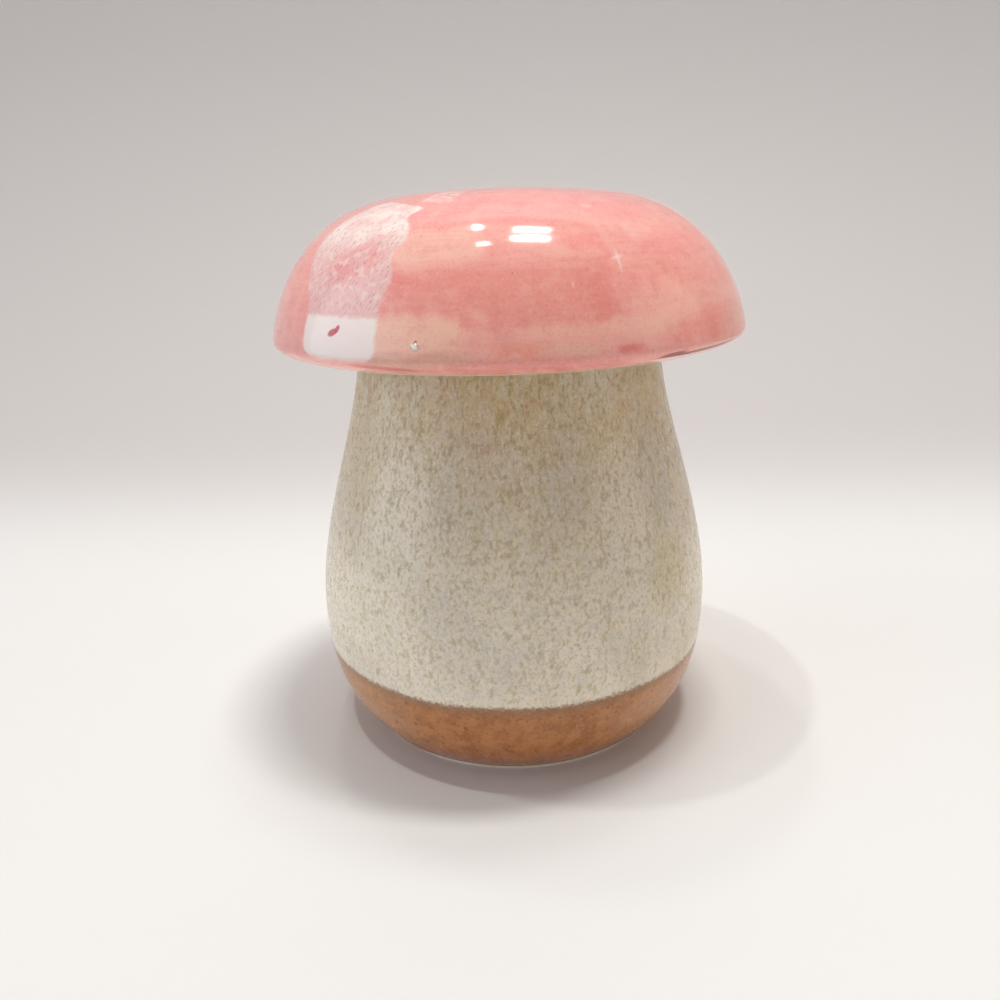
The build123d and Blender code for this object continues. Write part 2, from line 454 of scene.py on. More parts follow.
# %% Node group: brush patch
PATCH_SIDES = [("Around", "Left", "Right", "Soft Ends"), ("Up", "Bottom", "Top", "Soft Edges")]
patch, given, out = group("brush_patch", {
    "Around": 0, "Up": 0, "Left": 0, "Right": 0, "Bottom": 0, "Top": 0, "Soft Ends": 1,
    "Soft Edges": 1}, ["Mask"])
mask = 1
for axis, low, high, soft in PATCH_SIDES:
    hard = sum_of(patch, 'MULTIPLY', given[soft], -1)
    from_low = sum_of(patch, 'SUBTRACT', given[axis], given[low])
    from_high = sum_of(patch, 'SUBTRACT', given[high], given[axis])
    inside = sum_of(patch, 'MINIMUM', from_low, from_high)
    mask = sum_of(patch, 'MULTIPLY', mask, step(patch, inside, hard, given[soft]))
patch.links.new(mask, out.inputs["Mask"])

# %% [markdown]
# A fleck is a small slanted oval, good for a splash of colour, a drip or a scratch.

# %% Node group: fleck
fleck, given, out = group("fleck", {
    "Around": 0, "Up": 0, "Middle Around": 0, "Middle Up": 0, "Half Length": 1, "Half Width": 1, "Tilt": 0,
    "Soft": 0.4}, ["Mask"])
slant = sum_of(fleck, 'RADIANS', given["Tilt"])
right = sum_of(fleck, 'SUBTRACT', given["Around"], given["Middle Around"])
up = sum_of(fleck, 'SUBTRACT', given["Up"], given["Middle Up"])
cosine = sum_of(fleck, 'COSINE', slant)
sine = sum_of(fleck, 'SINE', slant)
along = sum_of(fleck, 'MULTIPLY_ADD', right, cosine, product(fleck, up, sine))
beside = sum_of(fleck, 'SUBTRACT', product(fleck, up, cosine), product(fleck, right, sine))
far = sum_of(fleck, 'POWER', sum_of(fleck, 'DIVIDE', along, given["Half Length"]), 2)
wide = sum_of(fleck, 'POWER', sum_of(fleck, 'DIVIDE', beside, given["Half Width"]), 2)
reach = sum_of(fleck, 'ADD', far, wide)
inner = sum_of(fleck, 'SUBTRACT', 1, given["Soft"])
outer = sum_of(fleck, 'ADD', 1, given["Soft"])
fleck.links.new(step(fleck, reach, outer, inner), out.inputs["Mask"])

# %% [markdown]
# ## Specks
# Iron specks in the dip, pinholes and tiny bubbles in the clear glaze are all the same thing to a shader:
# small dots, strewn unevenly. A Voronoi texture gives each cell one point, and a random colour decides
# which cells keep their dot, so the group needs only how many, how large and what share.

# %% Node group: specks
specks, given, out = group("specks", {"Per Metre": 300, "Size": 0.1, "Share": 0.5}, ["Mask"])
cells = place(specks, 'ShaderNodeTexVoronoi', {
    'Vector': place(specks, 'ShaderNodeTexCoord').outputs['Object'], 'Scale': given["Per Metre"]})
draw = place(specks, 'ShaderNodeSeparateColor', {0: cells.outputs['Color']}).outputs[0]
kept = sum_of(specks, 'LESS_THAN', draw, given["Share"])
edge = sum_of(specks, 'MULTIPLY', given["Size"], 0.5)
dot = step(specks, cells.outputs['Distance'], given["Size"], edge)
specks.links.new(sum_of(specks, 'MULTIPLY', dot, kept), out.inputs["Mask"])


# %% [markdown]
# ## Glazes
# All glazes share one shader: a Principled BSDF with the look of glass over clay. Only the colour, the
# roughness and a very shallow relief differ.

# %% A glaze material
def glaze(name, roughness):
    """A new material; returns it, its tree and its Principled BSDF."""
    made = bpy.data.materials.new(name)
    made.use_nodes = True
    shader = made.node_tree.nodes['Principled BSDF']
    shader.inputs['Roughness'].default_value = roughness
    shader.inputs['IOR'].default_value = 1.5
    print(f"finish {name}, roughness {roughness}")
    return made, made.node_tree, shader


def relief(tree, shader, height, depth):
    """Give the shader a relief: a height from 0 to 1, that deep in metres."""
    bump = place(tree, 'ShaderNodeBump', {'Height': height, 'Distance': depth, 'Strength': 1})
    tree.links.new(bump.outputs[0], shader.inputs['Normal'])


# %% Groups at work
def noise_on(tree, around, rise, round_count, rise_count, detail=2, start=0, slant=0, grit=0.5):
    """Drawn-out noise on a turned piece."""
    return use(tree, drawn, {"Around": around, "Rise": rise, "Round Count": round_count, "Slant": slant,
                             "Rise Count": rise_count, "Detail": detail, "Start": start, "Grit": grit})[0]


def fleck_on(tree, around, up, middle, level, length, width, tilt, soft):
    """The mask of one fleck, around a middle angle and a level."""
    return use(tree, fleck, {"Around": around, "Up": up, "Middle Around": middle, "Middle Up": level,
                             "Half Length": length, "Half Width": width, "Tilt": tilt, "Soft": soft})[0]


def patch_on(tree, around, up, left, right, bottom, top, soft_ends, soft_edges):
    """The mask of one touch of the brush."""
    return use(tree, patch, {"Around": around, "Up": up, "Left": left, "Right": right, "Bottom": bottom,
                             "Top": top, "Soft Ends": soft_ends, "Soft Edges": soft_edges})[0]


def dots(tree, under, per_metre, size, share, strength, tone):
    """Specks of a screen colour strewn over a colour."""
    strewn = use(tree, specks, {"Per Metre": per_metre, "Size": size, "Share": share})[0]
    return lay(tree, product(tree, strewn, strength), under, paint(*tone))


# %% [markdown]
# ## Bare clay and the liner
# The foot ring and the seat were wiped clean before firing, so the fired clay shows, matt and cream. The
# inside has a plain, pale liner glaze, a little uneven where it ran.

# %% Bare clay
bare_clay, tree, shader = glaze("bare_clay", 0.75)
spot = place(tree, 'ShaderNodeTexCoord').outputs['Object']
grit = place(tree, 'ShaderNodeTexNoise', {'Vector': spot, 'Scale': 900, 'Detail': 3}).outputs[0]
tone = lay(tree, step(tree, grit, 0.35, 0.7), paint(240, 232, 218), paint(252, 247, 237))
tone = dots(tree, tone, 420, 0.16, 0.3, 0.4, (186, 160, 128))
tree.links.new(tone, shader.inputs['Base Color'])
relief(tree, shader, grit, 0.06 * MM)

# %% Liner glaze
liner, tree, shader = glaze("liner_glaze", 0.22)
where = use(tree, turned)
runs = noise_on(tree, where["Around"], where["Height"], 60, 0.05, 3)
tone = lay(tree, step(tree, runs, 0.3, 0.75), paint(224, 214, 194), paint(240, 233, 218))
tone = dots(tree, tone, 150, 0.05, 0.4, 0.6, (150, 126, 98))
tree.links.new(tone, shader.inputs['Base Color'])
relief(tree, shader, runs, 0.05 * MM)

# %% [markdown]
# ## The stem's oatmeal glaze
# Close up, the glaze is a milky cream, full of short upright dashes of olive and grey where it ran thin.
# One noise can't do that, because the dashes, the milk between them and the slow change from warm and dark
# at the neck to pale at the belly are of different sizes. The darker neck is partly the glaze's own tone
# and partly painted shade under the cap. So fine noises are laid over broad ones, each as a colour of its
# own.

# %% Stem glaze: broad runs
stem_glaze, tree, shader = glaze("oatmeal_and_toffee_glaze", 0.3)
where = use(tree, turned)
around = where["Around"]
height = where["Height"]
runs = noise_on(tree, around, height, 26, 0.035, 3, 57)
clouds = noise_on(tree, around, height, 14, 0.045, 2, 23)
tints = noise_on(tree, around, height, 110, 0.3, 3, 68)
upper = step(tree, height, 34, 106)
# Darker and warmer towards the neck: partly the glaze's tone, partly painted shade under the cap's
# overhang.
cream = lay(tree, upper, paint(250, 237, 216), paint(204, 181, 140))
cream = wash(tree, cream, clouds, 0.44, 0.66, 0.45, (217, 205, 190))
cream = wash(tree, cream, runs, 0.52, 0.74, 0.4, (214, 200, 158))
cream = wash(tree, cream, tints, 0.53, 0.68, product(tree, upper, 0.55), (206, 172, 142))
cream = wash(tree, cream, tints, 0.47, 0.34, 0.38, (214, 209, 204))
print("broad runs, clouds and tints laid over the cream")

# %% [markdown]
# Some places have tints of their own: tan and pinkish at the neck, grey half-way down, butter yellow at the
# sides. The tan and pink at the front of the neck are partly painted shade and painted pink bounce from the
# cap. The pale places low on the left and half-way down both sides of the front are painted light, where
# the lamps reach the stem below the cap's shadow. Each is one wide, soft fleck: a row has its angle in
# degrees, its level and its half height in millimetres, its half width in degrees, its strength and its
# colour.

# %% Stem glaze: tinted places
TINTS_AND_PAINTED_LIGHT = [
    # Partly painted shade and painted pink bounce: tan and pink at the front of the neck, under the cap.
    (-22, 95, 9, 7, 0.40, (206, 170, 144)),
    (-8, 89, 8, 6, 0.30, (208, 172, 146)),
    (-14, 75, 13, 9, 0.25, (200, 190, 180)),
    (16, 79, 12, 9, 0.30, (202, 190, 178)),
    (48, 75, 14, 8, 0.35, (206, 200, 192)),
    (-48, 81, 17, 9, 0.35, (228, 214, 172)),
    (48, 51, 9, 9, 0.45, (214, 196, 146)),
    (49, 92, 9, 8, 0.35, (208, 184, 148)),
    # Painted light: pale places where the lamps reach the stem below the cap's shadow.
    (-48, 42, 10, 14, 0.45, (246, 236, 212)),
    (-36, 64, 18, 11, 0.55, (254, 241, 219)),
    (33, 64, 18, 9, 0.50, (246, 234, 216)),
    (150, 84, 16, 12, 0.40, (206, 174, 148)),
    (-130, 66, 14, 14, 0.40, (200, 192, 186)),
    (105, 60, 16, 10, 0.40, (222, 206, 158)),
    (-3.2, 91.2, 2.2, 1.5, 0.65, (184, 160, 84)),
]
for middle, level, tall, wide, strength, tone in TINTS_AND_PAINTED_LIGHT:
    mask = fleck_on(tree, around, height, middle, level, tall, wide, 90, 0.95)
    cream = lay(tree, product(tree, mask, strength), cream, paint(*tone))
print(len(TINTS_AND_PAINTED_LIGHT), "tinted places, the last one a drop of ochre that ran down the front")

# %% Stem glaze: where the toffee dip ends
GLAZE_LINE = 24.4
wander = noise_on(tree, around, height, 9, 0.0, 1, 5)
fray = noise_on(tree, around, height, 400, 1.5, 3, 77)
line = sum_of(tree, 'ADD', sway(tree, wander, 0.8), sway(tree, fray, 1.3))
over_line = sum_of(tree, 'SUBTRACT', sum_of(tree, 'SUBTRACT', height, GLAZE_LINE), line)
print(f"the dip ends {GLAZE_LINE} mm up")

# %% Stem glaze: fine dashes and milk
dashes = noise_on(tree, around, height, 285, 0.66, 6, 0, 0, 0.64)
milk = noise_on(tree, around, height, 400, 1.2, 5, 31, 0, 0.75)
blots = noise_on(tree, around, height, 150, 0.3, 4, 91)
clean = step(tree, over_line, 6, 0.5)
crowd = sum_of(tree, 'MULTIPLY_ADD', tints, -0.24, product(tree, clean, 0.06))
low = sum_of(tree, 'ADD', crowd, 0.6)
dash_mask = step(tree, dashes, low, sum_of(tree, 'ADD', low, 0.16))
dash_strength = sum_of(tree, 'MULTIPLY_ADD', upper, 0.05, 0.56)
milk_strength = sum_of(tree, 'MULTIPLY_ADD', upper, -0.35, 0.6)
olive = lay(tree, upper, paint(190, 173, 128), paint(150, 130, 100))
cream = wash(tree, cream, milk, 0.5, 0.66, milk_strength, (250, 241, 226))
cream = wash(tree, cream, milk, 0.5, 0.34, 0.5, (188, 171, 138))
cream = lay(tree, product(tree, dash_mask, dash_strength), cream, olive)
cream = wash(tree, cream, blots, 0.6, 0.7, 0.4, (172, 156, 112))
print("milk, dashes and a few larger blots laid over the cream")

# %% [markdown]
# ## The toffee dip
# Below a soft, wavering line the stem was dipped in toffee brown, with iron specks that bled a little. The
# line is frayed by a fine grain, and along it the two glazes mix to a dull grey brown. It is painted paler
# and pinker at the sides and near the foot: a painted reflection of the pale table in the glaze. At the
# foot itself it was wiped off in three long places.

# %% Stem glaze: toffee dip
# Painted reflection: the angles of the two paler sides, where the glaze mirrors the pale table.
PAINTED_SHEEN_SIDES = [-62, 62]
WIPED_CLEAN = [(4, 42, 0.85), (112, 34, 0.8), (-128, 46, 0.9)]
dipped = step(tree, over_line, 0.7, -0.7)
mottle = noise_on(tree, around, height, 70, 0.25, 4, 11)
toffee = lay(tree, step(tree, mottle, 0.32, 0.68), paint(172, 108, 58), paint(199, 133, 79))
# Painted reflection: paler and pinker towards the foot, and at the two sides in the loop below.
toffee = wash(tree, toffee, height, 11, 2, 0.7, (196, 134, 102))
for middle in PAINTED_SHEEN_SIDES:
    mask = fleck_on(tree, around, height, middle, 14, 30, 16, 0, 0.95)
    toffee = lay(tree, product(tree, mask, 0.5), toffee, paint(216, 166, 126))
fine_iron = noise_on(tree, around, height, 330, 1.1, 4, 41)
toffee = wash(tree, toffee, fine_iron, 0.54, 0.7, 0.5, (128, 74, 40))
toffee = wash(tree, toffee, fine_iron, 0.45, 0.3, 0.35, (214, 156, 108))
toffee = dots(tree, toffee, 330, 0.2, 0.4, 0.45, (98, 58, 36))
print("toffee with its iron specks ready")

# %% Stem glaze: both together
stem_tone = lay(tree, dipped, cream, toffee)
near_line = product(tree, step(tree, over_line, 0.8, -0.4), step(tree, over_line, -3.4, -0.4))
stem_tone = lay(tree, product(tree, near_line, 0.55), stem_tone, paint(146, 118, 92))
for middle, reach, tall in WIPED_CLEAN:
    mask = fleck_on(tree, around, height, middle, 0, reach, tall, 0, 0.3)
    stem_tone = lay(tree, mask, stem_tone, paint(255, 244, 228))
tree.links.new(stem_tone, shader.inputs['Base Color'])
rough = sum_of(tree, 'MULTIPLY_ADD', dash_mask, 0.12, 0.24)
tree.links.new(sum_of(tree, 'MULTIPLY_ADD', dipped, -0.06, rough), shader.inputs['Roughness'])
relief(tree, shader, sum_of(tree, 'MULTIPLY_ADD', dash_mask, -0.3, clouds), 0.06 * MM)
print(len(WIPED_CLEAN), "places wiped clean at the foot")

# %% [markdown]
# ## The cap's brushed pink
# The cap is white under a clear, wet-looking glaze, and a wide brush went round it with thin pink that
# shows its hairs. So the colour starts as a salmon that varies in streaks along the stroke, then single
# strokes are laid over it, deeper where two overlap and peach where the brush ran dry. Each stroke is a
# row: left, right, bottom and top in degrees, softness of ends and edges, strength and colour.

# %% Cap paint: ground of streaks
cap_glaze, tree, shader = glaze("brushed_pink_glaze", 0.1)
where = use(tree, turned)
around = where["Around"]
up = where["Latitude"]
spot = place(tree, 'ShaderNodeTexCoord').outputs['Object']
hairs = noise_on(tree, around, up, 44, 1.2, 4)
washes = noise_on(tree, around, up, 9, 0.16, 3, 19)
pools = noise_on(tree, around, up, 24, 0.12, 3, 47)
mottle = place(tree, 'ShaderNodeTexNoise', {'Vector': spot, 'Scale': 260, 'Detail': 3}).outputs[0]
grain = place(tree, 'ShaderNodeTexNoise', {'Vector': spot, 'Scale': 1700, 'Detail': 2}).outputs[0]
pink = lay(tree, step(tree, washes, 0.35, 0.65), paint(253, 181, 170), paint(252, 167, 158))
pink = wash(tree, pink, pools, 0.5, 0.72, 0.5, (252, 190, 177))
edges_shift = sum_of(tree, 'ADD', sway(tree, pools, 2.4), sway(tree, mottle, 1.6))
up_swayed = sum_of(tree, 'ADD', up, edges_shift)
ends_shift = sum_of(tree, 'ADD', sway(tree, pools, 4.0), sway(tree, mottle, 4.0))
ends_shift = sum_of(tree, 'ADD', ends_shift, sway(tree, hairs, 1.4))

# %% Cap paint: strokes
FRONT_STROKES = [
    (-400, 400, 31, 99, 5.0, 6.0, 0.80, (244, 164, 161)),
    (28, 66, 19, 27, 6.0, 2.5, 0.70, (253, 161, 156)),
    (-30, 14, 28, 36, 5.0, 3.0, 0.50, (253, 170, 166)),
    (-28, -7, 18.5, 28, 3.0, 2.5, 0.75, (253, 199, 182)),
    (-28, 22, 8, 18.5, 2.0, 2.5, 0.80, (242, 151, 140)),
    (-6, 24, 5, 12, 4.0, 2.0, 0.60, (243, 153, 140)),
    (17.5, 23, 7, 19, 1.2, 2.0, 0.40, (238, 135, 127)),
    (13, 24, 21.5, 25.5, 2.0, 1.2, 0.45, (252, 151, 146)),
    (29, 38, 24, 29, 2.0, 2.0, 0.40, (253, 194, 184)),
    (28, 46, 7, 13, 4.0, 2.5, 0.60, (255, 183, 166)),
    (2, 40, 3.6, 6.6, 4.0, 1.2, 0.60, (254, 193, 174)),
    (-29, -9, 1, 8, 2.5, 1.8, 0.85, (255, 202, 177)),
    (-29, -8, -1.6, 1.4, 2.0, 1.0, 0.75, (228, 177, 154)),
    (-5, 6, -0.6, 3.2, 2.5, 1.2, 0.75, (251, 163, 144)),
    (6, 17, 0, 2.6, 2.5, 1.0, 0.70, (246, 193, 168)),
    (35, 52, 1.2, 6.6, 3.0, 1.8, 0.55, (247, 143, 130)),
    (22, 27, 0.9, 2.3, 1.2, 0.6, 0.75, (228, 119, 114)),
    (56, 68, 2, 8, 3.0, 2.0, 0.50, (236, 177, 155)),
    (-14, 24, -2.2, -0.4, 3.0, 0.6, 0.60, (233, 142, 137)),
    (-64, -47, -1, 24, 4.0, 3.0, 0.50, (250, 171, 165)),
]
BACK_STROKES = [
    (-66, -18, 6, 19, 3.0, 3.0, 0.75, (242, 151, 140)),
    (-24, 9, 17, 28, 3.0, 3.0, 0.65, (253, 194, 176)),
    (6, 34, 7, 17, 3.0, 2.5, 0.75, (240, 146, 137)),
    (-44, 4, -0.5, 6, 3.0, 1.8, 0.75, (250, 189, 165)),
    (8, 38, -1, 4, 3.0, 1.4, 0.65, (234, 144, 134)),
    (54, 88, 2, 9, 3.0, 2.0, 0.65, (251, 183, 165)),
    (52, 110, 12, 24, 4.0, 3.0, 0.60, (248, 156, 148)),
]
for strokes, angle in ((FRONT_STROKES, around), (BACK_STROKES, where["Behind"])):
    ends = sum_of(tree, 'ADD', angle, ends_shift)
    for left, right, bottom, top, soft_ends, soft_edges, strength, tone in strokes:
        mask = patch_on(tree, ends, up_swayed, left, right, bottom, top, soft_ends, soft_edges)
        pink = lay(tree, product(tree, mask, strength), pink, paint(*tone))
print(len(FRONT_STROKES) + len(BACK_STROKES), "strokes on the cap")

# %% Cap paint: hairs, mottle and bubbles
LAYERS = [
    (hairs, 0.5, 0.72, 0.16, (228, 128, 122)),
    (hairs, 0.5, 0.28, 0.14, (255, 204, 190)),
    (mottle, 0.5, 0.72, 0.24, (230, 130, 124)),
    (mottle, 0.5, 0.28, 0.24, (255, 200, 186)),
    (grain, 0.54, 0.74, 0.26, (222, 108, 108)),
    (grain, 0.46, 0.26, 0.22, (255, 214, 202)),
]
for texture, low, high, strength, tone in LAYERS:
    pink = wash(tree, pink, texture, low, high, strength, tone)
pink = dots(tree, pink, 640, 0.14, 0.4, 0.25, (255, 220, 208))
pink = dots(tree, pink, 120, 0.035, 0.3, 0.6, (136, 70, 66))
print("hairs, mottle, grain, bubbles and pores laid over the strokes")

# %% [markdown]
# ## Gaps in the strokes
# Where the brush skipped, the white ground shows as an upright band. Its lower end is clean white with
# rounded corners. Higher up, a dry brush left a pale pink film and fine slanting dashes, and the band
# widens towards the crown. Its two edges are drawn through given points: a Float Curve node holds the angle
# of an edge at each latitude. The band shows at the left of the front and once more behind; a third, of
# which only a sliver shows from the front, lies on the right.

# %% Cap paint: what shows in a gap
dry = noise_on(tree, around, up, 760, 1.0, 4, 8, 0.32)
cells = place(tree, 'ShaderNodeTexNoise', {'Vector': spot, 'Scale': 620, 'Detail': 4}).outputs[0]
film = noise_on(tree, around, up, 46, 0.2, 3, 90, 0.3)
film_start = step(tree, sum_of(tree, 'ADD', up, sway(tree, cells, 0.9)), 7.2, 8.4)
film_zone = product(tree, film_start, step(tree, up, 30, 17))
blush = product(tree, step(tree, film, 0.38, 0.62), step(tree, up, 16, 28))
bare = lay(tree, product(tree, blush, 0.8), paint(255, 239, 232), paint(244, 204, 197))
bare = lay(tree, product(tree, film_zone, 0.85), bare, paint(241, 184, 181))
rosy = fleck_on(tree, around, up, -38, 19.5, 8, 5, 15, 0.98)
bare = lay(tree, product(tree, rosy, step(tree, film, 0.25, 0.6), 0.75), bare, paint(244, 160, 158))
pale_cells = product(tree, step(tree, up, 7.5, 12), step(tree, cells, 0.48, 0.66), 0.6)
bare = lay(tree, pale_cells, bare, paint(250, 226, 220))
pink_cells = product(tree, step(tree, up, 14, 24), step(tree, cells, 0.46, 0.34), 0.5)
bare = lay(tree, pink_cells, bare, paint(246, 190, 184))
dash = product(tree, step(tree, dry, 0.54, 0.67), step(tree, up, 6.8, 10), step(tree, up, 90, 14))
bare = lay(tree, product(tree, dash, 0.65), bare, paint(200, 142, 140))
print("white ground, pink film and dry dashes ready")


# %% Cap paint: edges of the gaps
def drawn_edge(tree, up, points):
    """The angle of an edge at each latitude, drawn through points of latitude and angle."""
    angles = [angle for _, angle in points]
    low = min(angles)
    reach = max(angles) - low
    bottom, top = points[0][0], points[-1][0]
    share = place(tree, 'ShaderNodeMapRange', {'Value': up, 'From Min': bottom, 'From Max': top}).outputs[0]
    drawn_line = place(tree, 'ShaderNodeFloatCurve', {'Value': share})
    line = drawn_line.mapping.curves[0]
    for _ in points[2:]:
        line.points.new(0.5, 0.5)
    for knot, (level, angle) in zip(line.points, points):
        knot.location = ((level - bottom) / (top - bottom), (angle - low) / reach)
    drawn_line.mapping.update()
    return sum_of(tree, 'MULTIPLY_ADD', drawn_line.outputs[0], reach, low)


LEFT_EDGE = [
    (-3, -42), (-0.5, -45.6), (1.2, -48), (4, -48.5), (9, -48.5), (14, -52), (20, -56), (26, -58.5),
    (32, -57), (35, -55), (38.5, -51.6), (41, -45.5)]
RIGHT_EDGE = [
    (-3, -31), (-0.5, -28.8), (1.2, -27.3), (4, -27), (10, -27), (16, -25.6), (21, -27), (25, -25),
    (29, -26), (32.6, -28.7), (35.8, -26.5), (37.8, -32), (41, -47)]
SLIVER_EDGE = [
    (-3, 82), (10, 79), (17, 74), (20.5, 71), (24, 69.5), (28, 68.6), (33, 68), (36, 68.2), (39, 69),
    (41, 72)]
left = drawn_edge(tree, up, LEFT_EDGE)
right = drawn_edge(tree, up, RIGHT_EDGE)
sliver = drawn_edge(tree, up, SLIVER_EDGE)
print(len(LEFT_EDGE) + len(RIGHT_EDGE) + len(SLIVER_EDGE), "points on the edges")

# %% Cap paint: gaps
SECOND_GAP = 101.5
SLIVER_END = 95
GAP_BOTTOM = -0.6
GAP_TOP = 41
ragged = sum_of(tree, 'MULTIPLY_ADD', step(tree, up, 5, 12), 0.75, 0.25)
fringe = noise_on(tree, around, up, 420, 1.3, 3, 3, 0.3)
fringe = product(tree, sway(tree, fringe, 1.3), ragged)
gap_shift = sum_of(tree, 'ADD', fringe, sway(tree, film, 0.8))
gap_around = sum_of(tree, 'ADD', around, gap_shift)
gap_up = sum_of(tree, 'ADD', up, gap_shift)
gap_behind = sum_of(tree, 'ADD', gap_around, SECOND_GAP)
GAPS = [(gap_around, left, right), (gap_behind, left, right), (gap_around, sliver, SLIVER_END)]
for angle, low_edge, high_edge in GAPS:
    shown = patch_on(tree, angle, gap_up, low_edge, high_edge, GAP_BOTTOM, GAP_TOP, 0.7, 0.8)
    pink = lay(tree, product(tree, shown, 0.96), pink, bare)
print("three gaps show the white ground")

# %% [markdown]
# ## Marks of the hand
# A red fleck fell on the white, and the glaze left a bead with a pinhole above it; the bead's near-white
# flecks are a painted glint. Pale star-shaped marks lie on the right, a second dry patch near the crown,
# and thin dark red lines along the lip's lower edge. Under the lip the paint ends and the cream ground
# shows as a thin line. Each mark is a row: angle and latitude, half length, half width and tilt in degrees,
# softness, strength and colour.

# %% Cap paint: flecks and the lip
FLECKS = [
    (-38.5, 4.6, 1.4, 0.70, 22, 0.5, 0.92, (206, 74, 92)),
    (-37.2, 5.3, 0.95, 0.55, 58, 0.5, 0.92, (206, 74, 92)),
    (-18.0, 3.6, 0.30, 0.26, 0, 0.6, 0.60, (120, 66, 60)),
    # Pale star-shaped marks on the right.
    (24.0, 24.0, 5.0, 1.2, -80, 0.98, 0.18, (255, 216, 208)),
    (25.0, 19.6, 1.6, 0.40, 14, 0.95, 0.60, (255, 228, 221)),
    (25.0, 19.0, 2.4, 0.40, 88, 0.95, 0.50, (255, 228, 221)),
    (24.1, 35.3, 1.8, 1.0, 0, 0.95, 0.40, (255, 214, 206)),
    (32.2, 25.8, 3.4, 1.6, 108, 0.98, 0.25, (255, 216, 206)),
    # Painted glint: near-white flecks on the bead, where a lamp shines in its glaze.
    (-18.3, 2.6, 0.62, 0.48, -30, 0.6, 0.95, (255, 252, 240)),
    (-17.7, 2.2, 0.42, 0.30, 40, 0.6, 0.90, (255, 250, 236)),
    (-18.9, 2.9, 0.36, 0.28, 10, 0.6, 0.85, (255, 250, 236)),
    (13.3, 14.0, 0.35, 0.6, 0, 0.7, 0.45, (255, 214, 206)),
    (34, 6.4, 10, 1.7, 16, 0.98, 0.40, (255, 196, 176)),
    # Thin dark red lines along the lip's lower edge, where it turns under.
    (45, -1.0, 14, 0.36, 2, 0.8, 0.95, (122, 32, 24)),
    (35, -1.0, 3.5, 0.46, 4, 0.8, 0.85, (132, 34, 26)),
    (-25, -1.9, 8, 0.5, -2, 0.8, 0.65, (206, 104, 100)),
]
for middle, level, length, width, tilt, soft, strength, tone in FLECKS:
    mask = fleck_on(tree, around, up, middle, level, length, width, tilt, soft)
    pink = lay(tree, product(tree, mask, strength), pink, paint(*tone))
upper_patch = patch_on(tree, gap_around, gap_up, -30, -18, 39, 50, 2.0, 1.5)
pink = wash(tree, pink, cells, 0.36, 0.56, product(tree, upper_patch, 0.75), (252, 214, 206))
pink = lay(tree, step(tree, up, -3.0, -3.7), pink, paint(240, 212, 186))
tree.links.new(pink, shader.inputs['Base Color'])
print(len(FLECKS), "marks of the hand")

# %% Cap glaze: bead and ripple
bead = fleck_on(tree, around, up, -18.2, 2.6, 0.8, 0.6, -30, 0.95)
ripple = place(tree, 'ShaderNodeTexNoise', {'Vector': spot, 'Scale': 70, 'Detail': 1}).outputs[0]
relief(tree, shader, sum_of(tree, 'MULTIPLY_ADD', bead, 6, ripple), 0.08 * MM)
print("bead and ripple in the clear glaze")

# %% [markdown]
# ## Put the finishes on
# The strips were numbered in the order in which they were turned, so the materials go on in that order.

# %% Make the two pieces
stem = piece("stem_jar_glazed", stem_mesh, [bare_clay, stem_glaze, bare_clay, liner])
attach(stem, "stem")
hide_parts("stem_jar")
cap = piece("cap_lid_glazed", cap_mesh, [cap_glaze, liner, bare_clay, liner])
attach(cap, "cap")
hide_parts("cap_lid")

# %% [markdown]
# ## Table, light and camera
# A pale sweep stands in for the table and the wall behind it: one sheet, extruded from its section, that
# turns up in a wide curve, so no corner shows. It is a plain white in front and a pale grey where it
# stands upright.

# %% Floor and backdrop
FLOOR_FRONT = -1.5
FLOOR_BACK = 0.2
FLOOR_WIDTH = 4
WALL_TOP = 2.2
SWEEP_R = 0.3
bends = [radians(a) for a in range(6, 91, 6)]
bm = bmesh.new()
section = [(FLOOR_FRONT, 0), (FLOOR_BACK, 0)]
section += [(FLOOR_BACK + SWEEP_R * sin(a), SWEEP_R * (1 - cos(a))) for a in bends]
section += [(FLOOR_BACK + SWEEP_R, WALL_TOP)]
verts = [bm.verts.new((-FLOOR_WIDTH / 2, y, z)) for y, z in section]
edges = [bm.edges.new(pair) for pair in zip(verts, verts[1:])]
swept = bmesh.ops.extrude_edge_only(bm, edges=edges)['geom']
far_side = [v for v in swept if isinstance(v, bmesh.types.BMVert)]
bmesh.ops.translate(bm, verts=far_side, vec=(FLOOR_WIDTH, 0, 0))
bmesh.ops.recalc_face_normals(bm, faces=bm.faces)
print(len(section), "points across the sweep")

# %% Pale finish of the floor
table, tree, shader = glaze("pale_table", 0.5)
spot = place(tree, 'ShaderNodeTexCoord').outputs['Object']
depth = place(tree, 'ShaderNodeSeparateXYZ', {0: spot}).outputs['Y']
smudge = place(tree, 'ShaderNodeTexNoise', {'Vector': spot, 'Scale': 6, 'Detail': 3}).outputs[0]
pale = lay(tree, smudge, paint(229, 229, 229), paint(233, 233, 233))
pale = lay(tree, step(tree, depth, 0.08, 0.3), pale, paint(204, 200, 200))
tree.links.new(pale, shader.inputs['Base Color'])
shader.inputs['Specular IOR Level'].default_value = 0.15
floor = piece("floor", bm, [table])

# %% [markdown]
# Small lamps hang overhead: four are placed by their mirror images on the glossy cap. A fifth draws the
# edge of the cap's shadow on the stem, and Ray Visibility keeps it out of the mirror images. A pale world
# fills the shadows: from the left, where it is cooler and strongest, from the right, a little from above
# and hardly from the front. Light Path lets the camera and the glaze see it as pale surroundings without
# more light falling on the pot.

